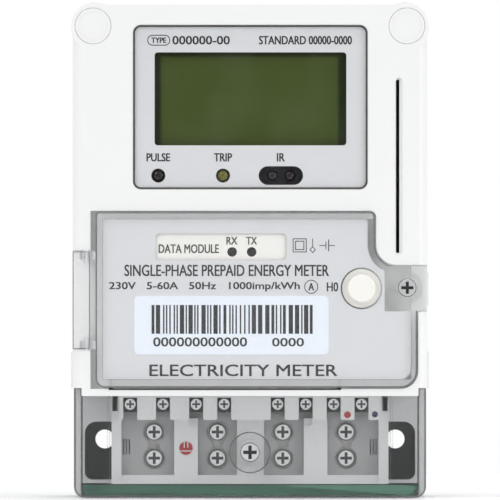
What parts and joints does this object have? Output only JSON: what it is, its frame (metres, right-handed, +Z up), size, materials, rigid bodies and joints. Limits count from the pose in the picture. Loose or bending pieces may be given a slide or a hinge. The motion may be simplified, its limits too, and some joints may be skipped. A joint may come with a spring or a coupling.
{
  "type": "prepaid electricity meter",
  "caption": "Wall-mounted single-phase prepaid energy meter with display, card slot, hinged clear flip cover over the communication bay, and clear terminal cover.",
  "frame": {"origin": "on the wall plane, midway between the two lower wall-fixing screws", "axes": "+X to the meter's right seen from the front, -Y out of its front, +Y into the wall, +Z up"},
  "size_m": [0.112, 0.071, 0.1553],
  "materials": {
    "white_housing": "moulded, fine satin grain",
    "dark_base": "glass-filled, matt",
    "black_rubber": "matt",
    "steel": "zinc plated",
    "dark_steel": "black oxide",
    "clear_lens": "clear, glossy",
    "clear_cover": "clear polycarbonate, glossy",
    "grey_print": "printed film, matt",
    "black_filter": "infrared filter, glossy",
    "olive_lcd": "liquid crystal, reflective",
    "holder_white": "moulded",
    "dark_lamp": "moulded resin",
    "amber_lamp": "moulded resin",
    "circuit_board": "solder resist",
    "black_plastic": "moulded",
    "transformer_yellow": "wound and taped",
    "relay_white": "moulded",
    "battery_green": "shrink sleeve",
    "gold_contact": "gold plated",
    "module_grey": "moulded",
    "cream_label": "paper label",
    "button_white": "polished",
    "clear_screw": "zinc plated",
    "brass": "machined",
    "plated_terminal": "tin-plated brass",
    "reader_grey": "moulded",
    "block_grey": "glass-filled, satin",
    "red_mark": "printed",
    "shunt_alloy": "copper alloy",
    "green_rubber": "matt",
    "label_white": "coated film"
  },
  "bodies": {
    "meter": {"base_shell": "dark_base", "case_gasket": "black_rubber", "front_housing": "white_housing", "case_screws": "steel", "display_lens": "clear_lens", "display_mask": "grey_print", "ir_window": "black_filter", "lcd_panel": "olive_lcd", "lcd_holder": "holder_white", "pulse_lamp": "dark_lamp", "trip_lamp": "amber_lamp", "ir_diodes": "dark_lamp", "display_board": "circuit_board", "board_header": "black_plastic", "main_board": "circuit_board", "board_screws": "steel", "metering_chips": "black_plastic", "power_transformer": "transformer_yellow", "supply_capacitors": "black_plastic", "latching_relay": "relay_white", "clock_battery": "battery_green", "card_reader": "reader_grey", "card_contacts": "gold_contact", "communication_module": "module_grey", "module_connector": "black_plastic", "module_label": "cream_label", "module_lamps": "dark_lamp", "tact_switch": "black_plastic", "hinge_pins": "steel", "latch_insert": "brass", "terminal_block": "block_grey", "line_in_terminal": "plated_terminal", "line_out_terminal": "plated_terminal", "neutral_in_terminal": "plated_terminal", "neutral_out_terminal": "plated_terminal", "main_terminal_screws": "steel", "aux_terminals": "dark_steel", "aux_terminal_screws": "steel", "terminal_marks": "red_mark", "current_shunt": "shunt_alloy", "seal_insert": "brass"},
    "flip_cover": {"flip_cover": "clear_cover", "nameplate": "grey_print", "serial_label": "label_white"},
    "latch_screw": {"latch_screw": "clear_screw"},
    "terminal_cover": {"terminal_cover": "clear_cover", "wire_entry_seal": "green_rubber"},
    "sealing_screw": {"sealing_screw": "steel"},
    "display_button": {"display_button": "button_white"},
    "seal_cap_left": {"seal_cap_left": "white_housing"},
    "seal_cap_right": {"seal_cap_right": "white_housing"},
    "hanger_plate": {"hanger_plate": "white_housing"}
  },
  "joints": [
    {"name": "flip_cover_hinge", "type": "hinge", "parent": "meter", "child": "flip_cover", "pos_m": [-0.0512, -0.0673, 0.0442], "axis": [0, 0, -1], "range_deg": [0, 110]},
    {"name": "latch_screw_out", "type": "slide", "parent": "flip_cover", "child": "latch_screw", "axis": [0, -1, 0], "range_m": [0, 0.005]},
    {"name": "terminal_cover_lift", "type": "slide", "parent": "meter", "child": "terminal_cover", "axis": [0, -1, 0], "range_m": [0, 0.05]},
    {"name": "sealing_screw_out", "type": "slide", "parent": "terminal_cover", "child": "sealing_screw", "axis": [0, -1, 0], "range_m": [0, 0.008]},
    {"name": "display_button_press", "type": "slide", "parent": "meter", "child": "display_button", "axis": [0, 1, 0], "range_m": [0, 0.0008], "stiffness_N_per_m": 900, "springref_m": -0.0006},
    {"name": "seal_cap_left_pull", "type": "slide", "parent": "meter", "child": "seal_cap_left", "axis": [0, -1, 0], "range_m": [0, 0.01]},
    {"name": "seal_cap_right_pull", "type": "slide", "parent": "meter", "child": "seal_cap_right", "axis": [0, -1, 0], "range_m": [0, 0.01]},
    {"name": "hanger_slide", "type": "slide", "parent": "meter", "child": "hanger_plate", "axis": [0, 0, 1], "range_m": [0, 0.012]}
  ]
}
